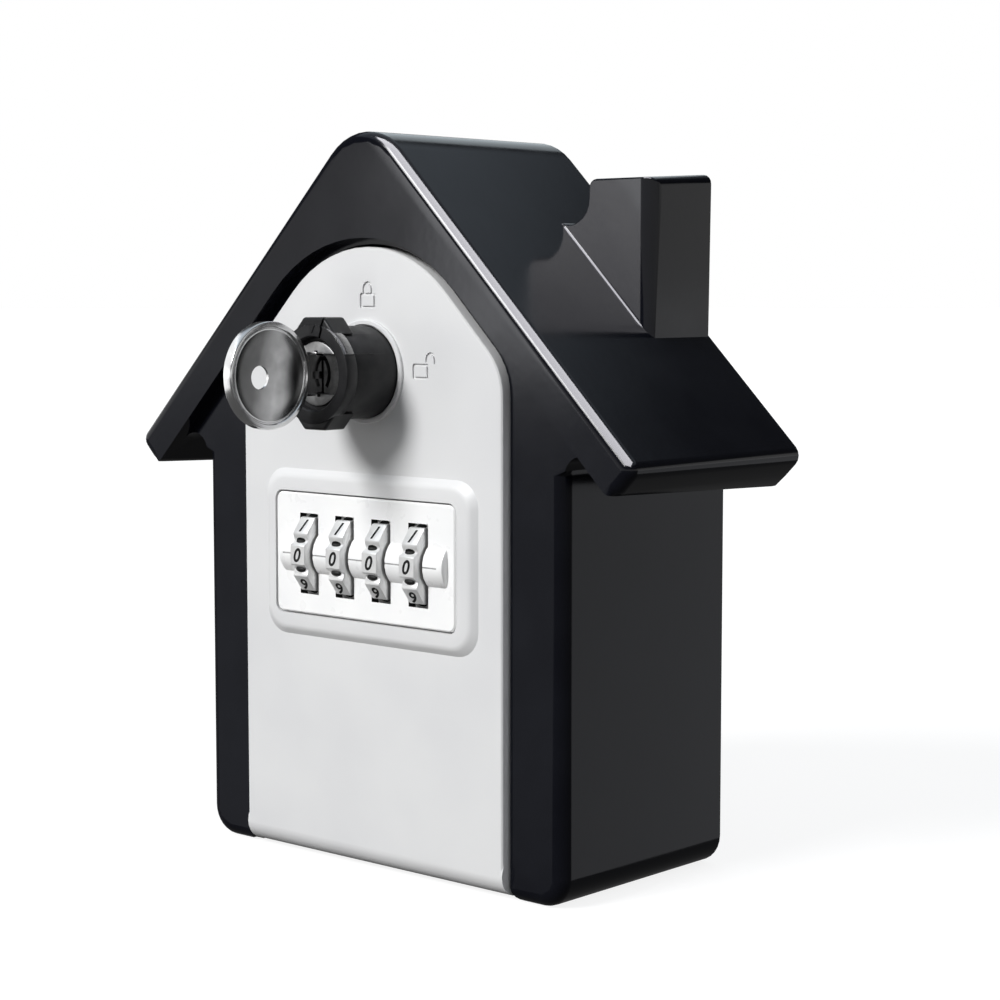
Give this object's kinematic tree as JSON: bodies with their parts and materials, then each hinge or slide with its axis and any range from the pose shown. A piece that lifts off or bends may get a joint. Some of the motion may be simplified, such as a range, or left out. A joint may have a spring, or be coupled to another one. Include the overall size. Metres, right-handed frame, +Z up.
{
  "type": "key lock box",
  "caption": "Wall-mounted house-shaped key lock box with a drop-down door, a wheel code dial and a key-operated knob.",
  "frame": {"origin": "centre of the case's flat base", "axes": "+X across the front to the right, +Y towards the wall, +Z up"},
  "size_m": [0.1332, 0.0868, 0.1453],
  "materials": {
    "black_paint": "glossy black powder coat over die-cast zinc",
    "grey_paint": "satin light grey paint over die-cast zinc",
    "white_plastic": "smooth white moulded plastic",
    "black_plastic": "satin black moulded plastic",
    "chrome": "chromed digit wheels with dark digits",
    "nickel": "dark nickel plating, polished rim",
    "zinc": "zinc-plated steel",
    "brass": "turned brass",
    "spring_steel": "blued spring steel"
  },
  "bodies": {
    "case": {"house_shell": "black_paint", "rear_cover": "black_paint", "key_hook_rail": "zinc", "strike_plate": "zinc", "hinge_pin": "zinc", "rear_cover_screw_1": "zinc", "rear_cover_screw_2": "zinc", "rear_cover_screw_3": "zinc", "rear_cover_screw_4": "zinc", "rear_cover_screw_5": "zinc", "strike_screw_1": "zinc", "strike_screw_2": "zinc"},
    "door": {"door_panel": "grey_paint", "dial_plate": "white_plastic", "dial_axle": "zinc", "detent_spring": "spring_steel", "dial_cover": "black_plastic", "dial_cover_screw_1": "zinc", "dial_cover_screw_2": "zinc", "dial_cover_screw_3": "zinc", "dial_cover_screw_4": "zinc"},
    "wheel_1": {"digit_wheel_1": "chrome", "code_sleeve_1": "brass"},
    "wheel_2": {"digit_wheel_2": "chrome", "code_sleeve_2": "brass"},
    "wheel_3": {"digit_wheel_3": "chrome", "code_sleeve_3": "brass"},
    "wheel_4": {"digit_wheel_4": "chrome", "code_sleeve_4": "brass"},
    "code_bar": {"code_bar": "zinc"},
    "reset_lever": {"code_reset_lever": "zinc"},
    "knob": {"knob": "black_plastic", "knob_clip": "spring_steel", "lock_cam": "zinc", "cam_washer": "zinc", "cam_screw": "zinc"},
    "plug": {"key_plug": "zinc", "wafer_tumbler_1": "brass", "wafer_tumbler_2": "brass", "wafer_tumbler_3": "brass", "wafer_tumbler_4": "brass"},
    "key": {"key": "nickel"}
  },
  "joints": [
    {"name": "door_hinge", "type": "hinge", "parent": "case", "child": "door", "pos_m": [0, -0.0206, 0.0048], "axis": [1, 0, 0], "range_deg": [0, 95]},
    {"name": "knob_turn", "type": "hinge", "parent": "door", "child": "knob", "pos_m": [0, -0.038, 0.099], "axis": [0, 1, 0], "range_deg": [0, 90]},
    {"name": "plug_turn", "type": "hinge", "parent": "knob", "child": "plug", "pos_m": [0, -0.038, 0.099], "axis": [0, 1, 0], "range_deg": [0, 90]},
    {"name": "key_withdraw", "type": "slide", "parent": "plug", "child": "key", "axis": [0, -1, 0], "range_m": [0, 0.026]},
    {"name": "code_bar_slide", "type": "slide", "parent": "door", "child": "code_bar", "axis": [0, 0, -1], "range_m": [0, 0.0018]},
    {"name": "reset_lever_slide", "type": "slide", "parent": "door", "child": "reset_lever", "axis": [1, 0, 0], "range_m": [0, 0.0042]},
    {"name": "wheel_1_turn", "type": "hinge", "parent": "door", "child": "wheel_1", "pos_m": [-0.015, -0.01956, 0.06235], "axis": [1, 0, 0], "continuous": true},
    {"name": "wheel_2_turn", "type": "hinge", "parent": "door", "child": "wheel_2", "pos_m": [-0.005, -0.01956, 0.06235], "axis": [1, 0, 0], "continuous": true},
    {"name": "wheel_3_turn", "type": "hinge", "parent": "door", "child": "wheel_3", "pos_m": [0.005, -0.01956, 0.06235], "axis": [1, 0, 0], "continuous": true},
    {"name": "wheel_4_turn", "type": "hinge", "parent": "door", "child": "wheel_4", "pos_m": [0.015, -0.01956, 0.06235], "axis": [1, 0, 0], "continuous": true}
  ],
  "couplings": [
    {"joint": "code_bar_slide", "follows": "knob_turn", "m_per_rad": 0.0011459}
  ]
}
